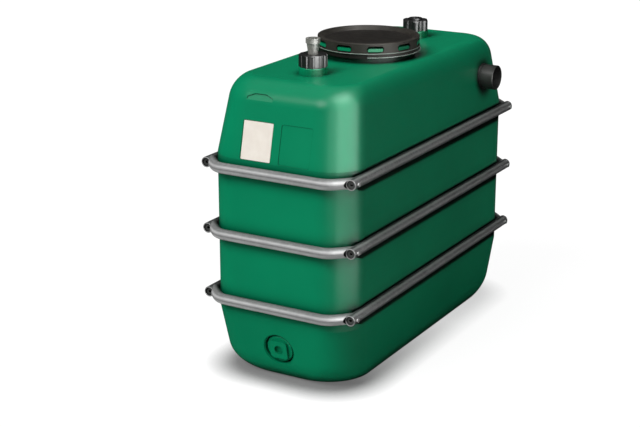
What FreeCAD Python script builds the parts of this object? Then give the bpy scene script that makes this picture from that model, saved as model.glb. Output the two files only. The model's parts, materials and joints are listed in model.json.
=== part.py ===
import FreeCAD, Part
import math
import os
import re
import Sketcher

# Moulded rainwater tank held by three hoops of steel tube. Millimetres, +Z up.
# The origin is on the floor at the middle of the base; X is the width, Y the length, and -Y the front.

SIZES = {
    # Tank body
    "body_width": 668,
    "body_length": 1566,
    "corner_radius": 150,
    "wall": 6,
    "base_height": 277,
    "base_side_lean": 4.9,
    "base_end_lean": 12.2,
    "base_edge_height": 105,
    "base_side_ease": 47,
    "base_end_ease": 55,
    "base_plan_corner": 218,
    "band_height": 666,
    "roof_height": 310,
    "roof_side_lean": 6.6,
    "roof_end_lean": 13,
    "roof_edge_height": 82,
    "roof_side_ease": 52,
    "roof_end_ease": 92,
    "roof_plan_corner": 98,
    # Moulded panels and finger grip on the roof's front
    "panel_gap": 18,
    "panel_margin": 23,
    "panel_foot": 1.5,
    "panel_height": 161,
    "panel_corner": 9,
    "panel_depth": 2,
    "grip_margin": 27,
    "grip_width": 120,
    "grip_top_width": 54,
    "grip_fall": 15,
    "grip_run_out": 32,
    "grip_station": 24,
    "grip_slope": 36,
    "grip_depth": 4,
    "grip_reach": 60,
    "grip_corner": 7,
    # Steel hoops and the channels they lie in
    "tube_diameter": 44.5,
    "tube_wall": 2,
    "side_tube_setback": 22,
    "hoop_foot": 64,
    "hoop_head": 40,
    "bend_angle": 45,
    "bend_radius": 80,
    "channel_depth": 20.5,
    "channel_floor_half": 25,
    "channel_lip_rise": 30,
    "channel_lip_drop": 50,
    "channel_lip_ease": 1.5,
    "channel_lip_run": 12,
    "channel_lip_radius": 10,
    "channel_floor_radius": 8,
    "seat_gap": 0.3,
    # Bolts through the hoop corners
    "bolt_diameter": 10,
    "bolt_hole_diameter": 10.6,
    "bolt_setback": 22,
    "bolt_reach": 6,
    "bolt_head_flats": 17,
    "bolt_head_height": 5,
    # Plugs in the open ends of the side tubes
    "end_plug_inset": 5,
    "end_plug_thickness": 6,
    "end_plug_bore": 13,
    # Manhole
    "neck_bore": 380,
    "neck_wall": 10,
    "neck_rise": 18,
    "neck_height": 42.8,
    "lug_length": 64,
    "lug_height": 13.5,
    "lug_level": 29,
    "lug_depth": 15.5,
    "lug_corner": 6.5,
    "lug_count": 10,
    "lug_turn": 18,
    "flange_diameter": 426,
    "segment_diameter": 444,
    "segment_level": 4,
    "segment_bead": 3,
    "segment_angle": 95,
    "segment_count": 2,
    "segment_turn": 297,
    "lid_diameter": 438,
    "lid_height": 65,
    "skirt_foot": 19,
    "skirt_wall": 9,
    "skirt_bead": 2.5,
    "skirt_bead_height": 4,
    "rim_width": 16,
    "rim_radius": 4.5,
    "rim_thickness": 5,
    "dish_wall_run": 14,
    "dish_diameter": 372,
    "dish_depth": 17,
    "slot_length": 72,
    "slot_height": 27,
    "slot_level": 26,
    "slot_corner": 12.5,
    "disc_thickness": 5,
    # Filler and spare neck on the roof
    "riser_setback": 310,
    "spare_setback": 333,
    "spigot_bore": 76,
    "spigot_wall": 7,
    "spigot_height": 66,
    "collar_diameter": 118,
    "collar_height": 30,
    "collar_radius": 6,
    "nut_diameter": 112,
    "nut_height": 50,
    "nut_top": 7,
    "nut_rib_count": 12,
    "nut_rib_radius": 6.5,
    "nut_bevel": 4,
    "riser_bore": 34,
    "riser_foot_diameter": 40,
    "riser_diameter": 53,
    "riser_wall": 3,
    "riser_top": 145,
    "riser_drop": 30,
    "ring_diameter": 60,
    "ring_height": 20,
    "ring_lip": 5,
    "ring_groove": 1.4,
    "cap_diameter": 104,
    "cap_height": 84,
    "cap_top": 8,
    "cap_lobe_count": 6,
    "cap_lobe_radius": 19,
    "cap_lobe_pitch": 82,
    "cap_bevel": 5,
    "cap_hub_diameter": 60,
    "cap_hub_height": 8,
    "cap_hub_dip_diameter": 46,
    # Overflow stub, placed from the tank's side, back end and roof foot
    "stub_diameter": 110,
    "stub_shoulder_diameter": 116,
    "stub_wall": 4.5,
    "stub_setback": 271,
    "stub_rise": 146,
    "stub_reach": 50,
    "stub_shoulder_depth": 12,
    "stub_inset": 44,
    "stub_socket_depth": 46,
    "stub_step": 5,
    "stub_bevel": 2.5,
    # Drain, set back from the leaning front of the base
    "drain_level": 146,
    "drain_diameter": 144,
    "drain_setback": 2.7,
    "cup_wall": 4,
    "cup_depth": 34,
    "plug_diameter": 120,
    "plug_recess": 4,
    "plug_edge": 4,
    "plug_key": 80,
    "plug_key_height": 11,
    "plug_key_corner": 15,
    "plug_hole_diameter": 40,
    "plug_hole_depth": 12,
}

doc = FreeCAD.newDocument("rainwater_tank")
sheet = doc.addObject("Spreadsheet::Sheet", "Sizes")
for row, (alias, value) in enumerate(SIZES.items(), start=1):
    sheet.set(f"A{row}", alias)
    sheet.set(f"B{row}", str(value))
    sheet.setAlias(f"B{row}", alias)
doc.recompute()

NODES = []
HALF_TURN = 180
QUARTER_TURN = 90
FULL_TURN = 360


def sized(expression):
    """Spells each bare size name in an expression as a cell of the sheet."""
    return re.sub(r"[a-z_]+", lambda word: f"Sizes.{word[0]}" if word[0] in SIZES else word[0], expression)


def number(expression):
    """The present value of an expression in the sheet's sizes."""
    return float(sheet.evalExpression(sized(expression)))


def bind(item, prop, expression):
    item.setExpression(prop, sized(expression))


def node(item, label):
    """Names a finished sub-part and keeps it for writing."""
    item.Label = label
    NODES.append(item)
    return item


def origin_plane(body, role):
    return next(plane for plane in body.Origin.OriginFeatures if plane.Role == role)


def new_sketch(body, name, role="XY_Plane", offset="0", rise="0", tilt="0", forward=False):
    """A sketch on one of the body's planes, moved along its normal and up it, and leaned back or forward."""
    sketch = body.newObject("Sketcher::SketchObject", name)
    sketch.AttachmentSupport = (origin_plane(body, role), "")
    sketch.MapMode = "FlatFace"
    lean = FreeCAD.Rotation(FreeCAD.Vector(1 if forward else -1, 0, 0), number(tilt))
    sketch.AttachmentOffset = FreeCAD.Placement(FreeCAD.Vector(0, number(rise), number(offset)), lean)
    for prop, expression in (("Base.z", offset), ("Base.y", rise)):
        if expression != "0":
            bind(sketch, f"AttachmentOffset.{prop}", expression)
    if tilt != "0":
        bind(sketch, "AttachmentOffset.Rotation.Angle", f"{tilt} * 1deg")
    return sketch


def constrain(sketch, expression, *reference):
    """Adds one driving constraint whose value follows the sheet."""
    index = sketch.addConstraint(Sketcher.Constraint(*reference, number(expression)))
    bind(sketch, f"Constraints[{index}]", expression)


def corner_arc(before, corner, after, radius):
    """The centre of the arc that rounds a corner, and the points where it meets the sides."""
    back = (before - corner).normalize()
    ahead = (after - corner).normalize()
    half = back.getAngle(ahead) / 2
    reach = radius / math.tan(half)
    centre = corner + (back + ahead).normalize() * (radius / math.sin(half))
    return centre, corner + back * reach, corner + ahead * reach


def outline(sketch, points):
    """A closed outline. Each point is an x and a y expression, with a radius where its corner is round."""
    corners = [FreeCAD.Vector(number(x), number(y), 0) for x, y, *_ in points]
    first = sketch.GeometryCount
    count = len(points)
    rounds = []
    for index, (_, _, *radius) in enumerate(points):
        neighbours = corners[index - 1], corners[index], corners[(index + 1) % count]
        rounds.append(corner_arc(*neighbours, number(radius[0])) if radius else None)
    for index, corner in enumerate(corners):
        following = (index + 1) % count
        start = rounds[index][2] if rounds[index] else corner
        end = rounds[following][1] if rounds[following] else corners[following]
        sketch.addGeometry(Part.LineSegment(start, end))
    for index, (x, y, *radius) in enumerate(points):
        sides = first + (index - 1) % count, first + index
        if radius:
            pin = round_corner(sketch, sides, corners[index], rounds[index], radius[0])
        else:
            sketch.addConstraint(Sketcher.Constraint("Coincident", sides[0], 2, sides[1], 1))
            pin = sides[1]
        constrain(sketch, x, "DistanceX", -1, 1, pin, 1)
        constrain(sketch, y, "DistanceY", -1, 1, pin, 1)


def round_corner(sketch, sides, corner, arc_points, radius):
    """Joins two sides by a tangent arc and returns the point that marks where they would have met."""
    centre, start, end = arc_points
    angles = [math.atan2(point.y - centre.y, point.x - centre.x) for point in (start, end)]
    turn = (angles[1] - angles[0]) % (2 * math.pi)
    left = turn < math.pi
    begin = angles[0] if left else angles[1]
    sweep = turn if left else 2 * math.pi - turn
    ring = Part.Circle(centre, FreeCAD.Vector(0, 0, 1), number(radius))
    arc = sketch.addGeometry(Part.ArcOfCircle(ring, begin, begin + sweep))
    sketch.addConstraint(Sketcher.Constraint("Tangent", sides[0], 2, arc, 1 if left else 2))
    sketch.addConstraint(Sketcher.Constraint("Tangent", arc, 2 if left else 1, sides[1], 1))
    constrain(sketch, radius, "Radius", arc)
    mark = sketch.addGeometry(Part.Point(corner), True)
    for side in sides:
        sketch.addConstraint(Sketcher.Constraint("PointOnObject", mark, 1, side))
    return mark


def rounded_box(sketch, left, low, right, high, radius):
    outline(sketch, [(left, low, radius), (right, low, radius), (right, high, radius), (left, high, radius)])


def circle(sketch, radius, x="0", y="0"):
    centre = FreeCAD.Vector(number(x), number(y), 0)
    ring = sketch.addGeometry(Part.Circle(centre, FreeCAD.Vector(0, 0, 1), number(radius)))
    constrain(sketch, radius, "Radius", ring)
    constrain(sketch, x, "DistanceX", -1, 1, ring, 3)
    constrain(sketch, y, "DistanceY", -1, 1, ring, 3)


def rounded_rectangle(sketch, half_x, half_y, radius):
    """A rectangle centred on the origin with four equal round corners, one line and one arc a side."""
    x, y, r = number(half_x), number(half_y), number(radius)
    lines = [((x, y - r), (x, r - y)), ((x - r, -y), (r - x, -y)),
             ((-x, r - y), (-x, y - r)), ((r - x, y), (x - r, y))]
    centres = [(x - r, r - y), (r - x, r - y), (r - x, y - r), (x - r, y - r)]
    first = sketch.GeometryCount
    for quarter, ((start, end), centre) in enumerate(zip(lines, centres)):
        sketch.addGeometry(Part.LineSegment(FreeCAD.Vector(*start, 0), FreeCAD.Vector(*end, 0)))
        ring = Part.Circle(FreeCAD.Vector(*centre, 0), FreeCAD.Vector(0, 0, 1), r)
        begin = -math.pi / 2 * (quarter + 1)
        sketch.addGeometry(Part.ArcOfCircle(ring, begin, begin + math.pi / 2))
    sides = [first + 2 * quarter for quarter in range(4)]
    for quarter, line in enumerate(sides):
        arc = line + 1
        following = sides[(quarter + 1) % 4]
        sketch.addConstraint(Sketcher.Constraint("Tangent", line, 2, arc, 2))
        sketch.addConstraint(Sketcher.Constraint("Tangent", arc, 1, following, 1))
        sketch.addConstraint(Sketcher.Constraint("Horizontal" if quarter % 2 else "Vertical", line))
        if quarter:
            sketch.addConstraint(Sketcher.Constraint("Equal", first + 1, arc))
    constrain(sketch, radius, "Radius", first + 1)
    constrain(sketch, half_x, "DistanceX", -1, 1, sides[0], 1)
    constrain(sketch, half_y, "DistanceY", sides[1], 1, -1, 1)
    constrain(sketch, half_x, "DistanceX", sides[2], 1, -1, 1)
    constrain(sketch, half_y, "DistanceY", -1, 1, sides[3], 1)


def new_body(name):
    return doc.addObject("PartDesign::Body", name)


def pad(body, sketch, length, name, reverse=False, midplane=False):
    feature = body.newObject("PartDesign::Pad", name)
    feature.Profile = sketch
    bind(feature, "Length", length)
    feature.Reversed = reverse
    feature.Midplane = midplane
    return feature


def pocket(body, sketch, length, name, reverse=False, midplane=False):
    """A cut that must take material away, so its direction is tested."""
    doc.recompute()
    before = body.Shape.Volume
    feature = body.newObject("PartDesign::Pocket", name)
    feature.Profile = sketch
    bind(feature, "Length", length)
    feature.Reversed = reverse
    feature.Midplane = midplane
    doc.recompute()
    if feature.Shape.Volume >= before:
        raise RuntimeError(f"{name} cuts nothing")
    return feature


def revolve(body, sketch, name, kind="Revolution", angle=str(FULL_TURN)):
    feature = body.newObject(f"PartDesign::{kind}", name)
    feature.Profile = sketch
    feature.ReferenceAxis = (sketch, ["V_Axis"])
    bind(feature, "Angle", f"{angle} * 1deg")
    return feature


def bevel(body, name, radius, top, size):
    """Turns a cone off the outer top edge of a round piece, ribs and lobes included."""
    section = new_sketch(body, f"{name}_section", "XZ_Plane")
    clear = f"{radius} + {size}"
    outline(section, [(f"{radius} - {size}", top), (clear, f"{top} - 2 * {size}"), (clear, top)])
    return revolve(body, section, name, "Groove")


def around(body, features, count, name):
    """Repeats features evenly about the body's Z axis."""
    doc.recompute()
    pattern = body.newObject("PartDesign::PolarPattern", name)
    pattern.Originals = features
    pattern.Axis = (next(axis for axis in body.Origin.OriginFeatures if axis.Role == "Z_Axis"), [""])
    pattern.Angle = FULL_TURN
    bind(pattern, "Occurrences", count)
    body.Tip = pattern
    return pattern


def place(item, x="0", y="0", z="0", turn="0", axis=(0, 0, 1)):
    """Puts a sub-part in the tank's frame, with its place bound to the sheet."""
    item.Placement.Rotation = FreeCAD.Rotation(FreeCAD.Vector(*axis), number(turn))
    if any(size in turn for size in SIZES):
        bind(item, "Placement.Rotation.Angle", f"( {turn} ) * 1deg")
    for letter, expression in (("x", x), ("y", y), ("z", z)):
        if expression != "0":
            bind(item, f"Placement.Base.{letter}", expression)


# Expressions that several sub-parts share
HALF_WIDTH = "body_width / 2"
HALF_LENGTH = "body_length / 2"
CORNER_X = f"( {HALF_WIDTH} - corner_radius )"
CORNER_Y = f"( {HALF_LENGTH} - corner_radius )"
BAND_TOP = "( base_height + band_height )"
ROOF_PLANE = f"( {BAND_TOP} + roof_height )"
TUBE_RADIUS = "tube_diameter / 2"
SIDE_AXIS = f"( {HALF_WIDTH} - channel_depth + seat_gap + {TUBE_RADIUS} )"
FRONT_AXIS = f"( {HALF_LENGTH} + seat_gap + {TUBE_RADIUS} )"
LID_PLANE = f"( {ROOF_PLANE} + neck_rise )"
NECK_RADIUS = "( neck_bore / 2 + neck_wall )"
SPIGOT_RADIUS = "( spigot_bore / 2 + spigot_wall )"
SIDE_TUBE_LENGTH = "( body_length - 2 * side_tube_setback )"
BOLT_POSITION = f"( {SIDE_TUBE_LENGTH} / 2 - bolt_setback )"
RISER_POSITION = f"( {HALF_LENGTH} - riser_setback )"
SPARE_POSITION = f"( {HALF_LENGTH} - spare_setback )"
STUB_POSITION = f"( {HALF_LENGTH} - stub_setback )"
STUB_MOUTH = f"( {HALF_WIDTH} + stub_reach )"
STUB_SHOULDER = f"( {HALF_WIDTH} - stub_shoulder_depth )"
STUB_INNER = f"( {HALF_WIDTH} - stub_inset )"
DRAIN_DROP = "( base_height - drain_level )"
DRAIN_WALL = f"( {HALF_LENGTH} - {DRAIN_DROP} * tan(base_end_lean * 1deg) )"
EDGE_STATIONS = [0, 12, 26, 42, 58, 72, 82, 90]
HOOPS = ["lower", "middle", "upper"]


def hoop_level(index):
    span = "( band_height - hoop_foot - hoop_head )"
    return f"( base_height + hoop_foot + {index} * {span} / {len(HOOPS) - 1} )"


def edge_height(end, station, inset):
    """How high above the rim a station of the round edge lies; stations go from the wall to the flat end."""
    return f"( {end}_height - {end}_edge_height + ( {end}_edge_height - {inset} ) * sin({station} * 1deg) )"


def edge_plan(sketch, end, rise, station, inset):
    """The tank's plan at one height of an end: the sides and ends lean in, then ease over to the flat."""
    eased = f"( 1 - cos({station} * 1deg) )"
    halves = []
    for straight, way in ((HALF_WIDTH, "side"), (HALF_LENGTH, "end")):
        lean = f"{rise} * tan({end}_{way}_lean * 1deg)"
        halves.append(f"{straight} - {inset} - {lean} - ( {end}_{way}_ease - {inset} ) * {eased}")
    corner = f"corner_radius - {inset} + ( {end}_plan_corner - corner_radius + {inset} ) * {eased}"
    rounded_rectangle(sketch, *halves, corner)


def end_block(body, end, inset, kind):
    """Adds or takes away one end of the tank: its leaning walls and its round edge."""
    label = f"{end}_{kind.lower()}"
    rim = new_sketch(body, f"{label}_rim")
    edge_plan(rim, end, "0", 0, inset)
    plans = []
    for station in EDGE_STATIONS:
        rise = edge_height(end, station, inset)
        plans.append(new_sketch(body, f"{label}_plan_{station}", "XY_Plane", rise))
        edge_plan(plans[-1], end, rise, station, inset)
    for name, sections, ruled in ((f"{label}_walls", [rim, plans[0]], True), (f"{label}_edge", plans, False)):
        loft = body.newObject(f"PartDesign::{kind}Loft", name)
        loft.Profile = sections[0]
        loft.Sections = sections[1:]
        loft.Ruled = ruled
        doc.recompute()


def shell_end(end):
    """A closed end of the tank, one wall thick. The rim is at z = 0 and the flat end at z = height."""
    body = new_body(end)
    end_block(body, end, "0", "Additive")
    end_block(body, end, "wall", "Subtractive")
    return body


def tank_roof():
    body = shell_end("roof")
    openings = new_sketch(body, "roof_openings", "XY_Plane", "roof_height")
    circle(openings, "neck_bore / 2")
    circle(openings, f"{SPIGOT_RADIUS} + seat_gap", y=f"- {RISER_POSITION}")
    circle(openings, f"{SPIGOT_RADIUS} + seat_gap", y=SPARE_POSITION)
    pocket(body, openings, "2 * wall", "roof_holes")
    overflow = new_sketch(body, "overflow_opening", "YZ_Plane", HALF_WIDTH)
    circle(overflow, "stub_shoulder_diameter / 2 + seat_gap", x=STUB_POSITION, y="stub_rise")
    pocket(body, overflow, "stub_inset", "overflow_hole")
    roof_front(body)
    place(body, z=BAND_TOP)
    return node(body, "tank_roof")


def roof_front(body):
    """Two shallow panels on the leaning front, and a finger grip that deepens upwards in its round edge."""
    panels = new_sketch(body, "front_panels", "XZ_Plane", HALF_LENGTH, tilt="roof_end_lean")
    far = f"{CORNER_X} - panel_margin"
    top = "panel_foot + panel_height"
    rounded_box(panels, "panel_gap", "panel_foot", far, top, "panel_corner")
    rounded_box(panels, f"- ( {far} )", "panel_foot", "- panel_gap", top, "panel_corner")
    pocket(body, panels, "panel_depth", "front_panel_recess")
    rise = edge_height("roof", "grip_station", "0")
    setback = f"( {rise} * tan(roof_end_lean * 1deg) + roof_end_ease * ( 1 - cos(grip_station * 1deg) ) )"
    forward = f"{HALF_LENGTH} - {setback} - grip_depth * cos(grip_slope * 1deg)"
    upward = f"{rise} - grip_depth * sin(grip_slope * 1deg)"
    grip = new_sketch(body, "grip_outline", "XZ_Plane", forward, upward, "grip_slope")
    left = f"( grip_margin - {CORNER_X} )"
    right, middle = f"{left} + grip_width", f"{left} + grip_width / 2"
    outline(grip, [
        (left, "- grip_run_out"), (right, "- grip_run_out"), (right, "- grip_fall", "grip_corner"),
        (f"{middle} + grip_top_width / 2", "0", "grip_corner"),
        (f"{middle} - grip_top_width / 2", "0", "grip_corner"), (left, "- grip_fall", "grip_corner"),
    ])
    pocket(body, grip, "grip_reach", "grip_recess", reverse=True)


def tank_base():
    """The bottom pan is an end like the roof, turned over."""
    body = shell_end("base")
    front = f"- {HALF_LENGTH}"
    drain = new_sketch(body, "drain_opening", "XZ_Plane", front, tilt="base_end_lean", forward=True)
    circle(drain, "drain_diameter / 2 + seat_gap", y=f"{DRAIN_DROP} / cos(base_end_lean * 1deg)")
    pocket(body, drain, "drain_setback + cup_depth", "drain_hole", reverse=True)
    place(body, z="base_height", turn=str(HALF_TURN), axis=(1, 0, 0))
    return node(body, "tank_base")


def plan_block(name, inset):
    """A plain block of the tank's plan between the base and the roof, taken in by an inset."""
    body = new_body(name)
    plan = new_sketch(body, f"{name}_plan", "XY_Plane", "base_height")
    rounded_rectangle(plan, f"{HALF_WIDTH} - {inset}", f"{HALF_LENGTH} - {inset}", f"corner_radius - {inset}")
    pad(body, plan, "band_height", f"{name}_pad")
    return body


def channel_bars(name, inset):
    """Straight bars, three a side, that take the hoops' channels out of a block."""
    body = new_body(name)
    section = new_sketch(body, f"{name}_section", "XZ_Plane")
    floor = f"{HALF_WIDTH} - channel_depth - {inset}"
    lip = f"{HALF_WIDTH} - channel_lip_ease - {inset}"
    beyond = f"{HALF_WIDTH} + channel_lip_ease - {inset}"
    lip_radius = f"channel_lip_radius - {inset} / 2"
    floor_radius = f"channel_floor_radius + {inset}"
    for index in range(len(HOOPS)):
        low, high = f"{hoop_level(index)} - {inset}", f"{hoop_level(index)} + {inset}"
        outline(section, [
            (beyond, f"{low} - channel_lip_drop - channel_lip_run"),
            (beyond, f"{high} + channel_lip_rise + channel_lip_run"),
            (lip, f"{high} + channel_lip_rise", lip_radius),
            (floor, f"{high} + channel_floor_half", floor_radius),
            (floor, f"{low} - channel_floor_half", floor_radius),
            (lip, f"{low} - channel_lip_drop", lip_radius),
        ])
    bars = pad(body, section, "body_length", f"{name}_pad", midplane=True)
    doc.recompute()
    pair = body.newObject("PartDesign::Mirrored", f"{name}_pair")
    pair.Originals = [bars]
    pair.MirrorPlane = (origin_plane(body, "YZ_Plane"), [""])
    body.Tip = pair
    return body


def boolean(kind, name, base, tool):
    item = doc.addObject(f"Part::{kind}", name)
    item.Base = base
    item.Tool = tool
    return item


def tank_walls():
    """The middle of the tank: a skin of one thickness that dips inwards behind each side tube."""
    skin = boolean("Cut", "wall_skin", plan_block("wall_outer", "0"), channel_bars("channels", "0"))
    hollow = boolean("Cut", "wall_hollow", plan_block("wall_inner", "wall"), channel_bars("ribs", "wall"))
    band = boolean("Cut", "wall_band", skin, hollow)
    for label, x, y, wide, deep in (
        ("front_wall", f"- {HALF_WIDTH}", f"- {HALF_LENGTH}", "body_width", "corner_radius"),
        ("back_wall", f"- {HALF_WIDTH}", CORNER_Y, "body_width", "corner_radius"),
        ("left_wall", f"- {HALF_WIDTH}", f"- {CORNER_Y}", HALF_WIDTH, f"2 * {CORNER_Y}"),
        ("right_wall", "0", f"- {CORNER_Y}", HALF_WIDTH, f"2 * {CORNER_Y}"),
    ):
        region = doc.addObject("Part::Box", f"{label}_region")
        bind(region, "Length", wide)
        bind(region, "Width", deep)
        bind(region, "Height", "band_height")
        place(region, x, y, "base_height")
        node(boolean("Common", f"{label}_piece", band, region), label)


def side_tube(label, level, side):
    """A straight tube with open ends, drilled crosswise near each end for the corner bolts."""
    body = new_body(label)
    ring = new_sketch(body, f"{label}_ring", "XZ_Plane")
    circle(ring, TUBE_RADIUS)
    circle(ring, f"{TUBE_RADIUS} - tube_wall")
    pad(body, ring, SIDE_TUBE_LENGTH, f"{label}_pad", midplane=True)
    drill = new_sketch(body, f"{label}_drill", "YZ_Plane")
    for end in ("", "-"):
        circle(drill, "bolt_hole_diameter / 2", x=f"{end} {BOLT_POSITION}")
    pocket(body, drill, "tube_diameter", f"{label}_holes", midplane=True)
    place(body, x=f"{side} {SIDE_AXIS}", z=level)
    return node(body, label)


# The end tubes touch the flat end wall and its round corners, so their bends start from the corner's centre.
BEND_CENTRE_DISTANCE = f"( corner_radius + seat_gap + {TUBE_RADIUS} )"
BEND_X = f"( {CORNER_X} + {BEND_CENTRE_DISTANCE} * tan(bend_angle * 0.5deg) )"
BEND_SETOFF = "( bend_radius * tan(bend_angle * 0.5deg) )"
LEG_RUN = f"( {SIDE_AXIS} - {BEND_X} )"


def end_tube(label, level, turn):
    """A tube across the tank's end, bent back at both ends and shaped to the side tubes it meets."""
    body = new_body(label)
    path = new_sketch(body, f"{label}_path")
    front = f"- {FRONT_AXIS}"
    points = [("0", front), (f"{BEND_X} - {BEND_SETOFF}", front),
              (f"{BEND_X} + {BEND_SETOFF} * cos(bend_angle * 1deg)",
               f"{front} + {BEND_SETOFF} * sin(bend_angle * 1deg)"),
              (SIDE_AXIS, f"{front} + {LEG_RUN} * tan(bend_angle * 1deg)")]
    start, bend, leg, finish = [FreeCAD.Vector(number(x), number(y), 0) for x, y in points]
    centre = bend + FreeCAD.Vector(0, number("bend_radius"), 0)
    sweep = math.radians(number("bend_angle"))
    arc = Part.Circle(centre, FreeCAD.Vector(0, 0, 1), number("bend_radius"))
    sketch_parts = [Part.LineSegment(start, bend),
                    Part.ArcOfCircle(arc, -math.pi / 2, sweep - math.pi / 2), Part.LineSegment(leg, finish)]
    for part in sketch_parts:
        path.addGeometry(part)
    path.addConstraint(Sketcher.Constraint("Tangent", 0, 2, 1, 1))
    path.addConstraint(Sketcher.Constraint("Tangent", 1, 2, 2, 1))
    path.addConstraint(Sketcher.Constraint("PointOnObject", 0, 1, -2))
    path.addConstraint(Sketcher.Constraint("Horizontal", 0))
    constrain(path, FRONT_AXIS, "DistanceY", 0, 1, -1, 1)
    constrain(path, points[1][0], "DistanceX", -1, 1, 0, 2)
    constrain(path, "bend_radius", "Radius", 1)
    constrain(path, SIDE_AXIS, "DistanceX", -1, 1, 2, 2)
    constrain(path, "bend_angle * 1deg", "Angle", 2)
    ring = new_sketch(body, f"{label}_ring", "YZ_Plane")
    circle(ring, TUBE_RADIUS, x=front)
    circle(ring, f"{TUBE_RADIUS} - tube_wall", x=front)
    half = body.newObject("PartDesign::AdditivePipe", f"{label}_half")
    half.Profile = ring
    half.Spine = (path, [])
    doc.recompute()
    whole = body.newObject("PartDesign::Mirrored", f"{label}_whole")
    whole.Originals = [half]
    whole.MirrorPlane = (origin_plane(body, "YZ_Plane"), [""])
    body.Tip = whole
    copes = new_sketch(body, f"{label}_copes", "XZ_Plane")
    for side in ("", "-"):
        circle(copes, f"{TUBE_RADIUS} + seat_gap", x=f"{side} {SIDE_AXIS}")
    pocket(body, copes, "body_length", f"{label}_ends", midplane=True)
    place(body, z=level, turn=turn)
    return node(body, label)


def corner_bolt():
    """A hexagon bolt that runs along -X from its head, seated on the outside of a side tube."""
    body = new_body("corner_bolt")
    shank = new_sketch(body, "bolt_shank", "YZ_Plane", f"{SIDE_AXIS} + {TUBE_RADIUS}")
    circle(shank, "bolt_diameter / 2", x=f"- {BOLT_POSITION}")
    pad(body, shank, "tube_diameter + bolt_reach", "bolt_shank_pad", reverse=True)
    head = new_sketch(body, "bolt_head", "YZ_Plane", f"{SIDE_AXIS} + {TUBE_RADIUS}")
    hexagon(head, "bolt_head_flats", x=f"- {BOLT_POSITION}")
    pad(body, head, "bolt_head_height", "bolt_head_pad")
    return body


def end_plug():
    """A plug with a round hole, set just inside the front end of the right side tube."""
    body = new_body("end_plug")
    disc = new_sketch(body, "end_plug_disc", "XZ_Plane", f"{SIDE_TUBE_LENGTH} / 2 - end_plug_inset")
    circle(disc, f"{TUBE_RADIUS} - tube_wall - seat_gap", x=SIDE_AXIS)
    circle(disc, "end_plug_bore / 2", x=SIDE_AXIS)
    pad(body, disc, "end_plug_thickness", "end_plug_pad", reverse=True)
    return body


def hexagon(sketch, flats, x):
    half, long = f"{flats} / 2", f"{flats} / sqrt(3)"
    short = f"{flats} / 2 / sqrt(3)"
    outline(sketch, [
        (f"{x} + {long}", "0"), (f"{x} + {short}", half), (f"{x} - {short}", half),
        (f"{x} - {long}", "0"), (f"{x} - {short}", f"- {half}"), (f"{x} + {short}", f"- {half}"),
    ])


def mirrored(source, name, normal):
    item = doc.addObject("Part::Mirroring", name)
    item.Source = source
    item.Normal = FreeCAD.Vector(*normal)
    return item


def at_four_corners(source):
    pair = [source, mirrored(source, f"{source.Name}_left", (1, 0, 0))]
    return pair + [mirrored(item, f"{item.Name}_back", (0, 1, 0)) for item in pair]


def hoops():
    small_parts = {"bolts": at_four_corners(corner_bolt()), "plugs": at_four_corners(end_plug())}
    for index, name in enumerate(HOOPS):
        level = hoop_level(index)
        side_tube(f"{name}_hoop_left_tube", level, "-")
        side_tube(f"{name}_hoop_right_tube", level, "")
        end_tube(f"{name}_hoop_front_tube", level, "0")
        end_tube(f"{name}_hoop_back_tube", level, str(HALF_TURN))
        for kind, four in small_parts.items():
            group = doc.addObject("Part::Compound", f"{name}_{kind}")
            group.Links = four
            place(group, z=level)
            node(group, f"{name}_hoop_{kind}")


def turned(label, points):
    """A body turned from a section in the XZ plane: each point is a radius and a height."""
    body = new_body(label)
    section = new_sketch(body, f"{label}_section", "XZ_Plane")
    outline(section, points)
    revolve(body, section, f"{label}_turned")
    return body


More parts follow.
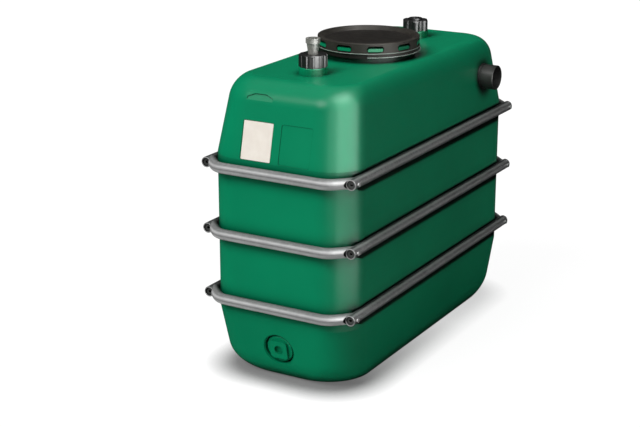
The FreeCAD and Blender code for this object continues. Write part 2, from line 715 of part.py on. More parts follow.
def manhole():
    """The moulded neck with its bayonet lugs, the locking ring round its foot, and the slotted dished lid."""
    neck = turned("manhole_neck", [
        ("neck_bore / 2", "- neck_rise"), (NECK_RADIUS, "- neck_rise"),
        (NECK_RADIUS, "neck_height"), ("neck_bore / 2", "neck_height"),
    ])
    lug = new_sketch(neck, "lug_face", "YZ_Plane", f"{NECK_RADIUS} + lug_depth")
    lug_half, lug_top = "lug_length / 2", "lug_level + lug_height"
    rounded_box(lug, f"- {lug_half}", "lug_level", lug_half, lug_top, "lug_corner")
    bar = pad(neck, lug, "lug_depth + neck_wall / 2", "lug", reverse=True)
    around(neck, [bar], "lug_count", "lugs")
    place(neck, z=LID_PLANE, turn="lug_turn")
    node(neck, "manhole_neck")

    inside, top = f"{NECK_RADIUS} + seat_gap", "skirt_foot - seat_gap"
    flange = turned("lid_flange", [
        (inside, "0"), ("flange_diameter / 2", "0"), ("flange_diameter / 2", top), (inside, top),
    ])
    section = new_sketch(flange, "segment_section", "XZ_Plane")
    root, bead = f"{NECK_RADIUS} + neck_wall", "segment_diameter / 2 + segment_bead"
    outline(section, [
        (root, "segment_level"), (bead, "segment_level"), (bead, "segment_level + segment_bead"),
        ("segment_diameter / 2", "segment_level + segment_bead"), ("segment_diameter / 2", top), (root, top),
    ])
    segment = revolve(flange, section, "locking_segment", angle="segment_angle")
    around(flange, [segment], "segment_count", "locking_segments")
    place(flange, z=LID_PLANE, turn="segment_turn")
    node(flange, "lid_flange")

    lid_radius = "lid_diameter / 2"
    bead_top = "skirt_foot + skirt_bead_height"
    skirt_in, rim_in = f"{lid_radius} - skirt_wall", f"{lid_radius} - rim_width"
    floor_edge, dish_floor = f"{rim_in} - dish_wall_run", "lid_height - dish_depth"
    lid = turned("lid_ring", [
        (skirt_in, "skirt_foot"), (f"{lid_radius} + skirt_bead", "skirt_foot", "skirt_bead / 2"),
        (f"{lid_radius} + skirt_bead", bead_top, "skirt_bead / 2"), (lid_radius, bead_top),
        (lid_radius, "lid_height", "rim_radius"), (rim_in, "lid_height"), (floor_edge, dish_floor),
        ("dish_diameter / 2", dish_floor), ("dish_diameter / 2", f"{dish_floor} - rim_thickness"),
        (floor_edge, f"{dish_floor} - rim_thickness"), (rim_in, "lid_height - rim_thickness"),
        (skirt_in, "lid_height - rim_thickness"),
    ])
    slot = new_sketch(lid, "slot_face", "YZ_Plane", f"{lid_radius} + skirt_bead")
    slot_half, slot_top = "slot_length / 2", "slot_level + slot_height"
    rounded_box(slot, f"- {slot_half}", "slot_level", slot_half, slot_top, "slot_corner")
    cut = pocket(lid, slot, "2 * skirt_wall", "slot")
    around(lid, [cut], "lug_count", "slots")
    place(lid, z=LID_PLANE, turn="lug_turn")
    node(lid, "lid_ring")

    disc = turned("lid_disc", [
        ("0", "0"), ("dish_diameter / 2 - seat_gap", "0"),
        ("dish_diameter / 2 - seat_gap", "disc_thickness"), ("0", "disc_thickness"),
    ])
    place(disc, z=f"{LID_PLANE} + {dish_floor} - disc_thickness")
    node(disc, "lid_disc")


def spigot(label, y):
    """A moulded neck through the roof with a round-edged collar."""
    body = turned(label, [
        ("spigot_bore / 2", "- wall"), (SPIGOT_RADIUS, "- wall"), (SPIGOT_RADIUS, "0"),
        ("collar_diameter / 2", "0"), ("collar_diameter / 2", "collar_height", "collar_radius"),
        (SPIGOT_RADIUS, "collar_height"), (SPIGOT_RADIUS, "spigot_height"),
        ("spigot_bore / 2", "spigot_height"),
    ])
    place(body, y=y, z=ROOF_PLANE)
    return node(body, label)


def filler():
    """The front neck: a ribbed nut that clamps a riser pipe, which widens to a lipped ring at its top."""
    y = f"- {RISER_POSITION}"
    spigot("filler_spigot", y)
    foot = "collar_height + seat_gap"
    top = f"{foot} + nut_height"
    hole = "riser_foot_diameter / 2 + seat_gap"
    nut = turned("filler_nut", [
        (f"{SPIGOT_RADIUS} + seat_gap", foot), ("nut_diameter / 2", foot), ("nut_diameter / 2", top),
        (hole, top), (hole, f"{top} - nut_top"), (f"{SPIGOT_RADIUS} + seat_gap", f"{top} - nut_top"),
    ])
    rib = new_sketch(nut, "nut_rib_plan", "XY_Plane", foot)
    circle(rib, "nut_rib_radius", x="nut_diameter / 2 - nut_rib_radius / 2")
    around(nut, [pad(nut, rib, "nut_height", "nut_rib")], "nut_rib_count", "nut_ribs")
    bevel(nut, "nut_bevel_cone", "( nut_diameter / 2 + nut_rib_radius / 2 )", f"( {top} )", "nut_bevel")
    place(nut, y=y, z=ROOF_PLANE)
    node(nut, "filler_nut")

    bore, neck, wide = "riser_bore / 2", "riser_foot_diameter / 2", "riser_diameter / 2"
    ring_foot, end = "riser_top - ring_height", "riser_top - riser_wall"
    riser = turned("riser_pipe", [
        (bore, "- riser_drop"), (neck, "- riser_drop"), (neck, top),
        (wide, ring_foot), (wide, end), (bore, end),
    ])
    place(riser, y=y, z=ROOF_PLANE)
    node(riser, "riser_pipe")

    seat, outside = f"{wide} + seat_gap", "ring_diameter / 2"
    groove, lip = f"{outside} - ring_groove", "riser_top - ring_lip"
    ring = turned("riser_ring", [
        (seat, ring_foot), (outside, ring_foot), (outside, f"{lip} - ring_groove"),
        (groove, f"{lip} - ring_groove"), (groove, lip), (outside, lip),
        (outside, "riser_top", "ring_groove"), (bore, "riser_top"),
        (bore, f"{end} + seat_gap"), (seat, f"{end} + seat_gap"),
    ])
    place(ring, y=y, z=ROOF_PLANE)
    node(ring, "riser_ring")


def spare_neck():
    """The back neck: the same spigot, closed by a lobed screw cap with a hollow hub."""
    spigot("spare_spigot", SPARE_POSITION)
    foot = "collar_height + seat_gap"
    inside = f"{SPIGOT_RADIUS} + seat_gap"
    shoulder = "( cap_height - cap_hub_height )"
    hub, dip = "cap_hub_diameter / 2", "cap_hub_dip_diameter / 2"
    cap = turned("spare_cap", [
        (inside, foot), ("cap_diameter / 2", foot), ("cap_diameter / 2", shoulder), (hub, shoulder),
        (hub, "cap_height"), (dip, "cap_height"), (dip, shoulder), ("0", shoulder),
        ("0", f"{shoulder} - cap_top"), (inside, f"{shoulder} - cap_top"),
    ])
    lobe = new_sketch(cap, "cap_lobe_plan", "XY_Plane", foot)
    circle(lobe, "cap_lobe_radius", x="cap_lobe_pitch / 2")
    around(cap, [pad(cap, lobe, f"{shoulder} - ( {foot} )", "cap_lobe")], "cap_lobe_count", "cap_lobes")
    bore = new_sketch(cap, "cap_bore_plan", "XY_Plane", foot)
    circle(bore, inside)
    pocket(cap, bore, f"{shoulder} - cap_top - ( {foot} )", "cap_bore", reverse=True)
    bevel(cap, "cap_bevel_cone", "( cap_lobe_pitch / 2 + cap_lobe_radius )", shoulder, "cap_bevel")
    place(cap, y=SPARE_POSITION, z=ROOF_PLANE)
    node(cap, "spare_cap")


def overflow_stub():
    """A pipe stub through the roof's side wall, with a shoulder in the wall and a stop ring inside."""
    outer, shoulder = "stub_diameter / 2", "stub_shoulder_diameter / 2"
    socket = f"{outer} - stub_wall"
    bore = f"{socket} - stub_step"
    stop = f"{STUB_MOUTH} - stub_socket_depth"
    stub = turned("overflow_stub", [
        (bore, STUB_INNER), (shoulder, STUB_INNER), (shoulder, STUB_SHOULDER), (outer, STUB_SHOULDER),
        (outer, f"{STUB_MOUTH} - stub_bevel"), (f"{outer} - stub_bevel", STUB_MOUTH), (socket, STUB_MOUTH),
        (socket, stop), (bore, stop),
    ])
    place(stub, y=STUB_POSITION, z=f"{BAND_TOP} + stub_rise", turn=str(QUARTER_TURN), axis=(0, 1, 0))
    return node(stub, "overflow_stub")


def drain():
    """The drain, square to the leaning foot of the front: a moulded cup and a screwed plug with a key."""
    cup_back = "( - drain_setback - cup_depth )"
    rim, cup_floor = "drain_diameter / 2", f"{cup_back} + cup_wall"
    cup = turned("drain_rim", [
        ("0", cup_back), (rim, cup_back), (rim, "- drain_setback"), (f"{rim} - cup_wall", "- drain_setback"),
        (f"{rim} - cup_wall", cup_floor), ("0", cup_floor),
    ])
    face = "( - drain_setback - plug_recess )"
    plug = turned("drain_plug", [
        ("0", f"{cup_floor} + seat_gap"), ("plug_diameter / 2", f"{cup_floor} + seat_gap"),
        ("plug_diameter / 2", face, "plug_edge"), ("0", face),
    ])
    key = new_sketch(plug, "plug_key_face", "XY_Plane", face)
    half = "plug_key / 2"
    rounded_box(key, f"- {half}", f"- {half}", half, half, "plug_key_corner")
    pad(plug, key, "plug_key_height", "plug_key_pad")
    hole = new_sketch(plug, "plug_hole_face", "XY_Plane", f"{face} + plug_key_height")
    circle(hole, "plug_hole_diameter / 2")
    pocket(plug, hole, "plug_hole_depth", "plug_hole")
    square = f"{QUARTER_TURN} + base_end_lean"
    for piece, label in ((cup, "drain_rim"), (plug, "drain_plug")):
        place(piece, y=f"- {DRAIN_WALL}", z="drain_level", turn=square, axis=(1, 0, 0))
        node(piece, label)


def check_document():
    """Stops before anything is written if any object failed."""
    doc.recompute()
    for item in doc.Objects:
        if "Invalid" in item.State or "Error" in item.State:
            raise RuntimeError(f"{item.Label} failed: {item.State}")
    for item in NODES:
        if item.Shape.isNull() or not item.Shape.isValid() or not item.Shape.Solids:
            raise RuntimeError(f"{item.Label} has no valid solid")


def write_parts():
    os.makedirs("parts", exist_ok=True)
    for item in NODES:
        item.Shape.exportStep(os.path.join("parts", f"{item.Label}.step"))


tank_base()
tank_walls()
tank_roof()
hoops()
manhole()
filler()
spare_neck()
overflow_stub()
drain()
check_document()
write_parts()
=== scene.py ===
import json
import math

import bmesh
import bpy
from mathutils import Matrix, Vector


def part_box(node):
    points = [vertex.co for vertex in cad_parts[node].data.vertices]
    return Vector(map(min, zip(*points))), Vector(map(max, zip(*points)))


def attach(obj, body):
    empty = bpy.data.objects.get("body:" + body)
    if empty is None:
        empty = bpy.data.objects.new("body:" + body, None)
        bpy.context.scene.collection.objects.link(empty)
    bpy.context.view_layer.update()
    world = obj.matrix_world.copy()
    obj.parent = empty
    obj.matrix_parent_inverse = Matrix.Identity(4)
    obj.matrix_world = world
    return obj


# Rainwater tank in a plain pale studio. Metres, +Z up, the tank's front faces -Y.

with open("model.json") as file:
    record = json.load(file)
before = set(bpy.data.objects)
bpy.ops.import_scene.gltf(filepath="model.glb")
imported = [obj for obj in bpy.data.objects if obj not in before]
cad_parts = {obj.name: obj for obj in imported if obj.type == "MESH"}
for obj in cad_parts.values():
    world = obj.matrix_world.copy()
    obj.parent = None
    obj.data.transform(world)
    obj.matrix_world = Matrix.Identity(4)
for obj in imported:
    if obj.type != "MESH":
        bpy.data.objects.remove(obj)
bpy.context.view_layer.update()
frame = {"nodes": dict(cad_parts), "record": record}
NODES = frame["nodes"]
HOOPS = ("lower", "middle", "upper")
FLANKS = ("left", "right")
X_AXIS, Y_AXIS, Z_AXIS = Vector((1.0, 0.0, 0.0)), Vector((0.0, 1.0, 0.0)), Vector((0.0, 0.0, 1.0))
DOWN = (0.0, 0.0, -1.0)
WHITE = (1.0, 1.0, 1.0, 1.0)


def grey(level):
    """A linear grey as RGBA."""
    return (level, level, level, 1.0)


def srgb(red, green, blue):
    """A colour of 0 to 255 steps as the linear RGBA that shaders take."""
    def linear(step):
        value = step / 255
        return value / 12.92 if value <= 0.04045 else ((value + 0.055) / 1.055) ** 2.4
    return (linear(red), linear(green), linear(blue), 1.0)


def map_range(tree, value, low, high, out_low, out_high):
    """The value's range from low to high, carried over to another range and held at its ends."""
    made = tree.nodes.new("ShaderNodeMapRange")
    tree.links.new(value, made.inputs["Value"])
    limits = {"From Min": low, "From Max": high, "To Min": out_low, "To Max": out_high}
    for key, number in limits.items():
        made.inputs[key].default_value = number
    return made.outputs["Result"]


class Nodes:
    """Short calls for building one material's node tree."""

    def __init__(self, name):
        self.material = bpy.data.materials.new(name)
        self.material.use_nodes = True
        self.tree = self.material.node_tree
        self.shader = self.tree.nodes["Principled BSDF"]
        self.coordinates = self.add("ShaderNodeTexCoord").outputs
        self.place = self.coordinates["Object"]

    def add(self, kind, **settings):
        made = self.tree.nodes.new(kind)
        for key, value in settings.items():
            setattr(made, key, value)
        return made

    def link(self, source, target):
        self.tree.links.new(source, target)

    def feed(self, target, value):
        """Link a socket, or set a constant."""
        if isinstance(value, bpy.types.NodeSocket):
            self.link(value, target)
        else:
            target.default_value = value

    def stretch(self, scale):
        """Object coordinates, stretched along the axes."""
        mapping = self.add("ShaderNodeMapping")
        self.link(self.place, mapping.inputs["Vector"])
        mapping.inputs["Scale"].default_value = scale
        return mapping.outputs["Vector"]

    def noise(self, scale, detail=4.0, roughness=0.5, where=None):
        made = self.add("ShaderNodeTexNoise")
        self.link(where or self.place, made.inputs["Vector"])
        made.inputs["Scale"].default_value = scale
        made.inputs["Detail"].default_value = detail
        made.inputs["Roughness"].default_value = roughness
        return made.outputs["Fac"]

    def cells(self, scale):
        """A random level for each crystal-like cell."""
        made = self.add("ShaderNodeTexVoronoi")
        self.link(self.place, made.inputs["Vector"])
        made.inputs["Scale"].default_value = scale
        tint = self.add("ShaderNodeSeparateColor")
        self.link(made.outputs["Color"], tint.inputs["Color"])
        return tint.outputs["Red"]

    def openness(self, reach):
        """1 on open faces, less in grooves and beside neighbours within reach."""
        made = self.add("ShaderNodeAmbientOcclusion", samples=12)
        made.inputs["Distance"].default_value = reach
        return made.outputs["AO"]

    def part_of(self, vector, axis):
        """One coordinate of a vector."""
        split = self.add("ShaderNodeSeparateXYZ")
        self.link(vector, split.inputs["Vector"])
        return split.outputs[axis]

    def along(self, axis):
        """One of the object coordinates."""
        return self.part_of(self.place, axis)

    def on_flanks(self):
        """1 on the tank's long sides, 0 on its ends."""
        return self.band(self.math("ABSOLUTE", self.along("X"), 0.0), 0.27, 0.32)

    def by_rise(self, stops):
        """Greys that change with how far the surface faces up (1) or down (-1)."""
        made = self.add("ShaderNodeValToRGB")
        self.link(self.band(self.part_of(self.coordinates["Normal"], "Z"), -1.0, 1.0), made.inputs["Fac"])
        places = made.color_ramp.elements
        while len(places) < len(stops):
            places.new(1.0)
        for place, (rise, level) in zip(places, stops):
            place.position = (rise + 1) / 2
            place.color = srgb(level, level, level)
        return made.outputs["Color"]

    def band(self, value, low, high, out_low=0.0, out_high=1.0):
        return map_range(self.tree, value, low, high, out_low, out_high)

    def math(self, operation, first, second):
        made = self.add("ShaderNodeMath", operation=operation)
        self.feed(made.inputs[0], first)
        self.feed(made.inputs[1], second)
        return made.outputs[0]

    def blend(self, factor, first, second):
        made = self.add("ShaderNodeMix", data_type="RGBA")
        self.feed(made.inputs["Factor"], factor)
        self.feed(made.inputs["A"], first)
        self.feed(made.inputs["B"], second)
        return made.outputs["Result"]

    def bump(self, height, distance, strength=1.0, below=None):
        made = self.add("ShaderNodeBump")
        made.inputs["Strength"].default_value = strength
        made.inputs["Distance"].default_value = distance
        self.link(height, made.inputs["Height"])
        if below:
            self.link(below, made.inputs["Normal"])
        return made.outputs["Normal"]

    def finish(self, **inputs):
        """Set the shader's sockets, by their names with underscores, and give the material back."""
        for key, value in inputs.items():
            self.feed(self.shader.inputs[key.replace("_", " ")], value)
        return self.material


# Materials
GROOVE_REACH = 0.06
GROOVE_SHADE_GREEN = srgb(0, 12, 7)
FLANK_GROOVE_SHADE = 1.9
FOOT_FADE = 0.004


def moulded_green(name, crevice_shade, foot=0.0):
    """Rotation-moulded polyethylene: an even deep green with a faint cloudiness and a fine orange peel.

    Painted shade darkens the grooves and the gaps beside neighbouring parts by the given share; on the long
    sides and below the height foot the painted shade is full.
    """
    n = Nodes(name)
    cloud = n.band(n.noise(2.3, 3.0), 0.35, 0.65)
    colour = n.blend(cloud, srgb(0, 123, 84), srgb(1, 130, 89))
    flecks = n.band(n.noise(900.0, 2.0), 0.62, 0.72)
    colour = n.blend(n.math("MULTIPLY", flecks, 0.18), colour, srgb(8, 142, 100))
    # Painted shade: the green turns near-black in grooves and beside neighbours, where shade falls
    closed = n.math("SUBTRACT", 1.0, n.openness(GROOVE_REACH))
    flank = n.on_flanks()
    closed = n.math("MULTIPLY", closed, n.band(flank, 0.0, 1.0, 1.0, FLANK_GROOVE_SHADE))
    depth = n.math("MAXIMUM", flank, n.band(n.along("Z"), foot, foot + FOOT_FADE, 1.0, crevice_shade))
    depth = n.math("MULTIPLY", n.band(closed, 0.07, 0.62), depth)
    colour = n.blend(depth, colour, GROOVE_SHADE_GREEN)
    swell, peel = n.noise(9.0, 2.0), n.noise(260.0, 2.0, 0.45)
    normal = n.bump(swell, 0.001, 0.3)
    normal = n.bump(peel, 0.0001, 0.3, normal)
    gloss = n.band(n.noise(6.0, 2.0), 0.2, 0.8, 0.285, 0.32)
    return n.finish(Base_Color=colour, Roughness=gloss, Normal=normal, Specular_IOR_Level=0.13)


def moulded_black(name, colour, light, rough_low, rough_high, shine=0.45, crevice_shade=0.8):
    """Injection-moulded plastic, mostly black, with a fine spark-eroded grain and painted shade that darkens
    its crevices.
    """
    n = Nodes(name)
    tone = n.blend(n.band(n.noise(18.0, 4.0), 0.35, 0.7), colour, light)
    # Painted shade: near-black in crevices and beside neighbours
    tone = n.blend(n.band(n.openness(0.04), 0.25, 0.9, crevice_shade, 0.0), tone, srgb(4, 4, 4))
    grain = n.noise(1400.0, 2.0, 0.6)
    normal = n.bump(grain, 0.00008, 0.6)
    gloss = n.band(n.noise(40.0, 4.0, 0.6), 0.3, 0.7, rough_low, rough_high)
    return n.finish(Base_Color=tone, Roughness=gloss, Normal=normal, Specular_IOR_Level=shine)


def pipe_grey():
    """Drain-pipe plastic: mid grey with faint drawn lines along the pipe."""
    n = Nodes("pipe_grey")
    lines = n.noise(60.0, 3.0, 0.6, n.stretch((9.0, 9.0, 0.4)))
    colour = n.blend(n.band(lines, 0.35, 0.65), srgb(102, 102, 97), srgb(134, 134, 128))
    normal = n.bump(lines, 0.0001, 0.5)
    gloss = n.band(n.noise(35.0, 4.0), 0.3, 0.7, 0.32, 0.44)
    return n.finish(Base_Color=colour, Roughness=gloss, Normal=normal)


def galvanised(name, stops):
    """Hot-dip galvanised steel: painted reflections as greys by how far the surface faces up, zinc spangles
    of different grey and gloss, dull runs, and painted shade beside neighbouring parts.
    """
    n = Nodes(name)
    crystal = n.cells(120.0)
    runs = n.band(n.noise(16.0, 5.0, 0.62), 0.4, 0.68)
    # Painted reflections: the grey follows how far the surface faces up, not the lamps
    colour = n.blend(n.math("MULTIPLY", crystal, 0.16), n.by_rise(stops), srgb(172, 174, 174))
    colour = n.blend(n.math("MULTIPLY", runs, 0.3), colour, srgb(100, 102, 102))
    # Painted shade: dark grey where the tube sits in its channel or beside other parts
    colour = n.blend(n.band(n.openness(0.08), 0.35, 0.95), srgb(30, 34, 33), colour)
    gloss = n.band(crystal, 0.0, 1.0, 0.33, 0.43)
    gloss = n.math("ADD", gloss, n.math("MULTIPLY", runs, 0.1))
    normal = n.bump(n.noise(70.0, 4.0, 0.55), 0.00025, 0.6)
    return n.finish(Base_Color=colour, Roughness=gloss, Normal=normal, Metallic=0.04, Specular_IOR_Level=0.12)


def bolt_steel():
    """Zinc-plated bolts, duller and a little darker than the tubes."""
    n = Nodes("bolt_steel")
    colour = n.blend(n.band(n.noise(260.0, 4.0), 0.35, 0.65), srgb(104, 104, 104), srgb(140, 140, 139))
    normal = n.bump(n.noise(900.0, 3.0), 0.00005, 0.6)
    gloss = n.band(n.noise(300.0, 3.0), 0.3, 0.7, 0.3, 0.5)
    return n.finish(Base_Color=colour, Roughness=gloss, Normal=normal, Metallic=1.0)


def label_film():
    """Bare off-white film with a faint paper tooth."""
    n = Nodes("label_film")
    tone = n.blend(n.band(n.noise(22.0, 3.0), 0.35, 0.65), srgb(223, 215, 204), srgb(229, 222, 212))
    normal = n.bump(n.noise(1800.0, 2.0), 0.00004, 0.5)
    gloss = n.band(n.noise(60.0, 3.0), 0.3, 0.7, 0.42, 0.52)
    return n.finish(Base_Color=tone, Roughness=gloss, Normal=normal)


# Painted reflections along the tubes: how far the surface faces up, and the grey painted there
END_PAINTED_REFLECTIONS = ((-1.0, 180), (-0.5, 200), (0.0, 110), (0.45, 180), (0.75, 110), (1.0, 120))
FLANK_REFLECTION_AND_SHADE = ((-1.0, 25), (-0.5, 30), (0.1, 125), (0.6, 75), (0.9, 130), (1.0, 20))
# Height below which the neck is painted dark, as shade under the lid's skirt
NECK_SHADE_TOP = 1.272

FINISHES = {
    "green_shell": moulded_green("moulded_green", 0.6),
    "lid_black": moulded_black("lid_black", srgb(27, 25, 23), srgb(36, 34, 31), 0.42, 0.54, 0.07),
    "cap_black": moulded_black("cap_black", srgb(16, 16, 16), srgb(26, 26, 26), 0.3, 0.42),
    "pipe_grey": pipe_grey(),
    "galvanised": galvanised("galvanised", END_PAINTED_REFLECTIONS),
    "bolt_steel": bolt_steel(),
}
dressing = {part["node"]: FINISHES[part["material_slot"]] for part in frame["record"]["subparts"]}

# Nodes that look different from the rest of their slot
# The roof's grooves, grip arch and panel edges take the painted shade in full
dressing["tank_roof"] = moulded_green("moulded_green_roof", 1.0)
# The neck takes a light painted shade, and full painted shade low down under the lid's skirt
dressing["manhole_neck"] = moulded_green("moulded_green_neck", 0.35, NECK_SHADE_TOP)
# A lighter copy of the lid's black for the ring: its rim painted lighter for the light it catches, the dish
# left darker
dressing["lid_ring"] = moulded_black("lid_rim_black_lit", srgb(40, 38, 34), srgb(50, 47, 43), 0.42, 0.54, 0.07)
dressing["overflow_stub"] = moulded_black("stub_black", srgb(26, 26, 25), srgb(38, 38, 36), 0.36, 0.46, 0.16)
# The drain and spigots take a lighter painted shade
fitting_green = moulded_green("moulded_green_fitting", 0.4)
for fitting in ("drain_rim", "drain_plug", "filler_spigot", "spare_spigot"):
    dressing[fitting] = fitting_green
# A darker copy of the steel for the long sides' tubes: painted shade of the shaded side, painted reflections,
# and a painted channel shadow at top and bottom
shaded_flank_steel = galvanised("galvanised_flank_shaded", FLANK_REFLECTION_AND_SHADE)
plug_grey = moulded_black("plug_grey", srgb(62, 64, 62), srgb(80, 82, 80), 0.4, 0.5, 0.25)
for hoop in HOOPS:
    dressing[f"{hoop}_hoop_plugs"] = plug_grey
    for flank in FLANKS:
        dressing[f"{hoop}_hoop_{flank}_tube"] = shaded_flank_steel

for node_name, material in dressing.items():
    NODES[node_name].data.materials.clear()
    NODES[node_name].data.materials.append(material)


# Pieces of the scene's own
ROD_SIDES = 8


def new_piece(name, build, material):
    """A finished mesh that stands with the tank."""
    mesh = bpy.data.meshes.new(name)
    bmesh.ops.recalc_face_normals(build, faces=build.faces)
    build.to_mesh(mesh)
    build.free()
    piece = bpy.data.objects.new(name, mesh)
    bpy.context.scene.collection.objects.link(piece)
    piece.data.materials.append(material)
    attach(piece, "root")
    return piece


def smooth_sides(piece):
    """Smooth shading on the four-sided faces; flat ends stay flat."""
    for face in piece.data.polygons:
        face.use_smooth = len(face.vertices) == 4


def bent_rod(build, centre, plane, radius, thick, steps, start=0, sweep=360):
    """A thin round rod bent to an arc, or to a closed ring, round a centre in the plane of two axes."""
    across, up = plane
    axis = across.cross(up)
    closed = sweep == 360
    rows = []
    for step in range(steps if closed else steps + 1):
        turn = math.radians(start + sweep * step / steps)
        outward = across * math.cos(turn) + up * math.sin(turn)
        row = []
        for side in range(ROD_SIDES):
            angle = 2 * math.pi * side / ROD_SIDES
            spot = centre + outward * (radius + thick * math.cos(angle)) + axis * (thick * math.sin(angle))
            row.append(build.verts.new(spot))
        rows.append(row)
    for index in range(len(rows) if closed else len(rows) - 1):
        near, far = rows[index], rows[(index + 1) % len(rows)]
        for side in range(ROD_SIDES):
            after = (side + 1) % ROD_SIDES
            build.faces.new((near[side], far[side], far[after], near[after]))
    if not closed:
        build.faces.new(rows[0])
        build.faces.new(list(reversed(rows[-1])))


# Label plate, bare, on the left panel of the roof's leaning front
ROOF_FOOT = 0.943
FRONT = 0.783
LEAN = math.radians(13.0)
PANEL_DEPTH = 0.002
PLATE_LEFT, PLATE_RIGHT, PLATE_LOW, PLATE_HIGH = -0.157, -0.021, 0.004, 0.160
PLATE_CORNER, PLATE_THICK, PLATE_GAP = 0.003, 0.0006, 0.0001
CORNER_STEPS = 5


def label_plate():
    """A thin plate with rounded corners."""
    up = Vector((0.0, math.sin(LEAN), math.cos(LEAN)))
    out = Vector((0.0, -math.cos(LEAN), math.sin(LEAN)))
    root = Vector((0.0, -FRONT, ROOF_FOOT)) - out * (PANEL_DEPTH - PLATE_GAP)
    left, right = PLATE_LEFT + PLATE_CORNER, PLATE_RIGHT - PLATE_CORNER
    low, high = PLATE_LOW + PLATE_CORNER, PLATE_HIGH - PLATE_CORNER
    build = bmesh.new()
    rim = []
    for x, y, start in ((right, low, -90), (right, high, 0), (left, high, 90), (left, low, 180)):
        for step in range(CORNER_STEPS + 1):
            angle = math.radians(start + 90 * step / CORNER_STEPS)
            rim.append((x + PLATE_CORNER * math.cos(angle), y + PLATE_CORNER * math.sin(angle)))
    face = build.faces.new([build.verts.new(root + X_AXIS * x + up * y) for x, y in rim])
    lifted = bmesh.ops.extrude_face_region(build, geom=[face])
    moved = [item for item in lifted["geom"] if isinstance(item, bmesh.types.BMVert)]
    bmesh.ops.translate(build, verts=moved, vec=out * PLATE_THICK)
    new_piece("label_plate", build, label_film())


# Rods on the lid's beads in pale greys, as painted highlights: one under the skirt, and one on each locking
# segment
SKIRT_BEAD = {"radius": 0.2204, "thick": 0.0019, "steps": 120}
SKIRT_BEAD_LEVEL = 1.292
LOCK_BEAD = {"radius": 0.2236, "thick": 0.0017, "steps": 31, "sweep": 95}
LOCK_BEAD_LEVEL = 1.2766
LOCK_FRONT_START, LOCK_BACK_START = 297, 117


def bead_line(name, level, material, **arc):
    """One level rod about the tank's middle."""
    build = bmesh.new()
    bent_rod(build, Z_AXIS * level, (X_AXIS, Y_AXIS), **arc)
    smooth_sides(new_piece(name, build, material))


def bead_lines():
    # Painted highlights: pale greys for the light lines along the bead edges, paler on the locking beads that
    # sit in the skirt's shade
    bead_highlight_grey = moulded_black("bead_highlight_grey", srgb(116, 126, 119), srgb(134, 143, 136), 0.35, 0.45, 0.3, 0.0)
    bead_highlight_pale = moulded_black("bead_highlight_pale", srgb(186, 198, 191), srgb(204, 214, 208), 0.35, 0.45, 0.3, 0.0)
    bead_line("skirt_bead_highlight", SKIRT_BEAD_LEVEL, bead_highlight_grey, **SKIRT_BEAD)
    bead_line("lock_bead_highlight_front", LOCK_BEAD_LEVEL, bead_highlight_pale, start=LOCK_FRONT_START, **LOCK_BEAD)
    bead_line("lock_bead_highlight_back", LOCK_BEAD_LEVEL, bead_highlight_pale, start=LOCK_BACK_START, **LOCK_BEAD)


# A rounded light rim on the cut ends of the long tubes
RIM_THICK = 0.0024
RIM_STEPS = 32


def tube_rims():
    """One ring on each end, sized from the tube's box."""
    build = bmesh.new()
    for hoop in HOOPS:
        for flank in FLANKS:
            low, high = (Vector(end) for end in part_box(f"{hoop}_hoop_{flank}_tube"))
            middle = (low + high) / 2
            radius = (high.x - low.x) / 2 - RIM_THICK
            for end in (low.y, high.y):
                centre = Vector((middle.x, end, middle.z))
                bent_rod(build, centre, (X_AXIS, Z_AXIS), radius, RIM_THICK, RIM_STEPS)
    smooth_sides(new_piece("tube_end_rims", build, FINISHES["galvanised"]))


# Floor, light and camera
FLOOR_REACH = 60.0
FLOOR_GLOW = 0.93
CONTACT_REACH = 0.14


def studio_floor():
    """A pale floor, white to the camera, that keeps the tank's cast shadow, takes a painted contact shadow
    round the tank's foot that weakens towards the back, and leaves gloss dark.
    """
    mesh = bpy.data.meshes.new("floor")
    corners = [(x * FLOOR_REACH, y * FLOOR_REACH, 0) for x, y in ((-1, -1), (1, -1), (1, 1), (-1, 1))]
    mesh.from_pydata(corners, [], [(0, 1, 2, 3)])
    floor = bpy.data.objects.new("floor", mesh)
    bpy.context.scene.collection.objects.link(floor)
    n = Nodes("studio_floor")
    light_path = n.add("ShaderNodeLightPath").outputs
    seen = n.math("MAXIMUM", light_path["Is Camera Ray"], light_path["Is Transmission Ray"])
    # Painted contact shadow: the glow dims near the tank by ambient occlusion, less towards the back
    shade = n.band(n.openness(CONTACT_REACH), 0.5, 1.0, 0.8, 0.0)
    shade = n.math("MULTIPLY", shade, n.band(n.along("Y"), -0.6, 0.2, 1.0, 0.4))
    glow = n.math("MULTIPLY", seen, n.math("SUBTRACT", FLOOR_GLOW, shade))
    tone = n.blend(seen, grey(0.42), grey(0.1))
    tone = n.blend(light_path["Is Glossy Ray"], tone, grey(0.03))
    floor.data.materials.append(n.finish(Base_Color=tone, Roughness=1.0, Specular_IOR_Level=0.0,
                                         Emission_Color=WHITE, Emission_Strength=glow))


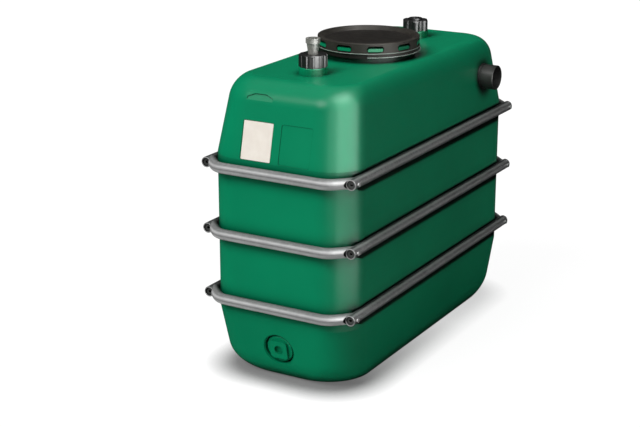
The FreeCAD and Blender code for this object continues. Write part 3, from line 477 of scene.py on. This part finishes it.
def studio_world():
    """White to the camera; to the tank, a soft sky that darkens towards the horizon and the right.

    Glossy rays see it dark, apart from white overhead.
    """
    world = bpy.data.worlds.new("studio")
    bpy.context.scene.world = world
    world.use_nodes = True
    tree = world.node_tree
    tree.nodes.clear()
    link = tree.links.new

    def math_of(operation, first, second):
        made = tree.nodes.new("ShaderNodeMath")
        made.operation = operation
        link(first, made.inputs[0])
        link(second, made.inputs[1])
        return made.outputs[0]

    def background(strength):
        made = tree.nodes.new("ShaderNodeBackground")
        made.inputs["Color"].default_value = WHITE
        if isinstance(strength, bpy.types.NodeSocket):
            link(strength, made.inputs["Strength"])
        else:
            made.inputs["Strength"].default_value = strength
        return made.outputs["Background"]

    split = tree.nodes.new("ShaderNodeSeparateXYZ")
    link(tree.nodes.new("ShaderNodeTexCoord").outputs["Generated"], split.inputs["Vector"])
    right, height = split.outputs["X"], split.outputs["Z"]
    light_path = tree.nodes.new("ShaderNodeLightPath").outputs

    sky = map_range(tree, height, 0.0, 0.9, 0.24, 0.9)
    sky = math_of("MULTIPLY", sky, map_range(tree, right, -0.2, 0.8, 1.0, 0.42))
    gloss_sky = map_range(tree, height, 0.6, 0.97, 0.01, 1.0)
    strength = tree.nodes.new("ShaderNodeMix")
    link(light_path["Is Glossy Ray"], strength.inputs["Factor"])
    link(sky, strength.inputs["A"])
    link(gloss_sky, strength.inputs["B"])

    seen = math_of("MAXIMUM", light_path["Is Camera Ray"], light_path["Is Transmission Ray"])
    mix = tree.nodes.new("ShaderNodeMixShader")
    link(seen, mix.inputs["Fac"])
    link(background(strength.outputs["Result"]), mix.inputs[1])
    link(background(1.0), mix.inputs[2])
    output = tree.nodes.new("ShaderNodeOutputWorld")
    link(mix.outputs["Shader"], output.inputs["Surface"])


def add_light(name, kind, at, towards, strength, **settings):
    """A lamp that shines along a direction and that the camera doesn't see."""
    lamp = bpy.data.lights.new(name, kind)
    lamp.energy = strength
    for key, value in settings.items():
        setattr(lamp, key, value)
    holder = bpy.data.objects.new(name, lamp)
    bpy.context.scene.collection.objects.link(holder)
    holder.location = at
    holder.rotation_mode = "QUATERNION"
    holder.rotation_quaternion = Vector(towards).to_track_quat("-Z", "Y")
    holder.visible_camera = False
    return holder


def gloss_light(name, at, towards, wide, tall, radiance):
    """A flat panel of even radiance that lights gloss alone."""
    panel = add_light(name, "AREA", at, towards, radiance * math.pi * wide * tall, shape="RECTANGLE",
                      size=wide, size_y=tall)
    panel.visible_diffuse = False


NEAR_CORNER = (0.26, -0.75)


def gloss_panel(name, azimuth, half_angle, away, low, high, radiance):
    """An upright gloss panel that faces the tank's front right corner."""
    corner = Vector((*NEAR_CORNER, (low + high) / 2))
    bearing = math.radians(azimuth)
    at = corner + away * Vector((math.sin(bearing), -math.cos(bearing), 0.0))
    wide = 2 * away * math.tan(math.radians(half_angle))
    gloss_light(name, at, corner - at, wide, high - low, radiance)


def studio_lights():
    """A soft key from the front left, and panels on the right that light the near corner's gloss."""
    add_light("key", "SUN", Z_AXIS * 3.0, (0.25, 0.66, -0.72), 2.5, angle=math.radians(28))
    gloss_panel("near_panel", azimuth=30, half_angle=18, away=2.0, low=0.35, high=7.0, radiance=6.0)
    gloss_panel("corner_panel", azimuth=76, half_angle=33, away=2.0, low=0.35, high=9.0, radiance=17.0)
    gloss_light("corner_ceiling", (1.75, -0.9, 5.0), DOWN, wide=3.0, tall=3.0, radiance=11.0)
    gloss_panel("low_panel", azimuth=78, half_angle=38, away=1.0, low=0.03, high=0.35, radiance=7.0)


CAMERA_PLACE = (3.017271, -5.647425, 2.552358)
CAMERA_AZIMUTH, CAMERA_ELEVATION = math.radians(29.979), math.radians(17.558)
CAMERA_LENS = 84.748


def photo_camera():
    """The photograph's viewpoint: its place and lens were fitted to the hoops' corners."""
    camera = bpy.data.cameras.new("camera")
    camera.sensor_width = 36.0
    camera.lens = CAMERA_LENS
    camera.clip_end = 200.0
    holder = bpy.data.objects.new("camera", camera)
    bpy.context.scene.collection.objects.link(holder)
    level = math.cos(CAMERA_ELEVATION)
    back = Vector((math.sin(CAMERA_AZIMUTH) * level, -math.cos(CAMERA_AZIMUTH) * level,
                   math.sin(CAMERA_ELEVATION)))
    holder.location = CAMERA_PLACE
    holder.rotation_mode = "QUATERNION"
    holder.rotation_quaternion = (-back).to_track_quat("-Z", "Y")
    bpy.context.scene.camera = holder


label_plate()
bead_lines()
tube_rims()
studio_floor()
studio_world()
studio_lights()
photo_camera()
bpy.context.scene.view_settings.view_transform = "Standard"
